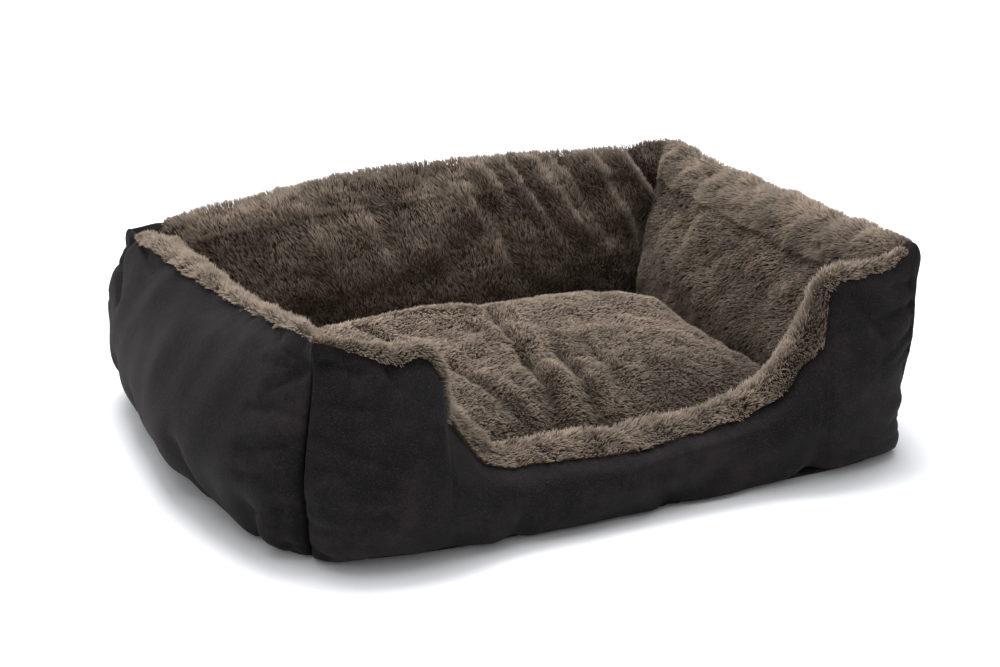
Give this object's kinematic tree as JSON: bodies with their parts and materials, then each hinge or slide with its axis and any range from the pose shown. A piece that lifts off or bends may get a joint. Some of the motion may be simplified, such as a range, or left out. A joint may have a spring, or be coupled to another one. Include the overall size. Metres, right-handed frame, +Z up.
{
  "type": "pet cushion bed",
  "caption": "Rectangular pet bed with stuffed suede-look walls, a plush lining rolled over the rim, a low front entry and a loose plush cushion.",
  "frame": {"origin": "centre of the footprint, on the floor", "axes": "+X along the bed's length, to the right seen from the entry; +Y towards the back wall; +Z up"},
  "size_m": [0.7082, 0.5882, 0.1993],
  "materials": {
    "suede": "matte",
    "plush": "matte",
    "cushion_plush": "matte",
    "base_cloth": "matte",
    "fibre_filling": "matte"
  },
  "bodies": {
    "bed": {"front_outer_cover": "suede", "front_plush_lining": "plush", "front_filling": "fibre_filling", "right_outer_cover": "suede", "right_plush_lining": "plush", "right_filling": "fibre_filling", "back_outer_cover": "suede", "back_plush_lining": "plush", "back_filling": "fibre_filling", "left_outer_cover": "suede", "left_plush_lining": "plush", "left_filling": "fibre_filling", "base_cloth": "base_cloth", "base_wadding": "fibre_filling", "base_lining": "base_cloth"},
    "cushion": {"cushion_top": "cushion_plush", "cushion_underside": "base_cloth", "cushion_filling": "fibre_filling"}
  },
  "joints": [
    {"name": "cushion_lift", "type": "slide", "parent": "bed", "child": "cushion", "axis": [0, 0, 1], "range_m": [0, 0.25]}
  ]
}
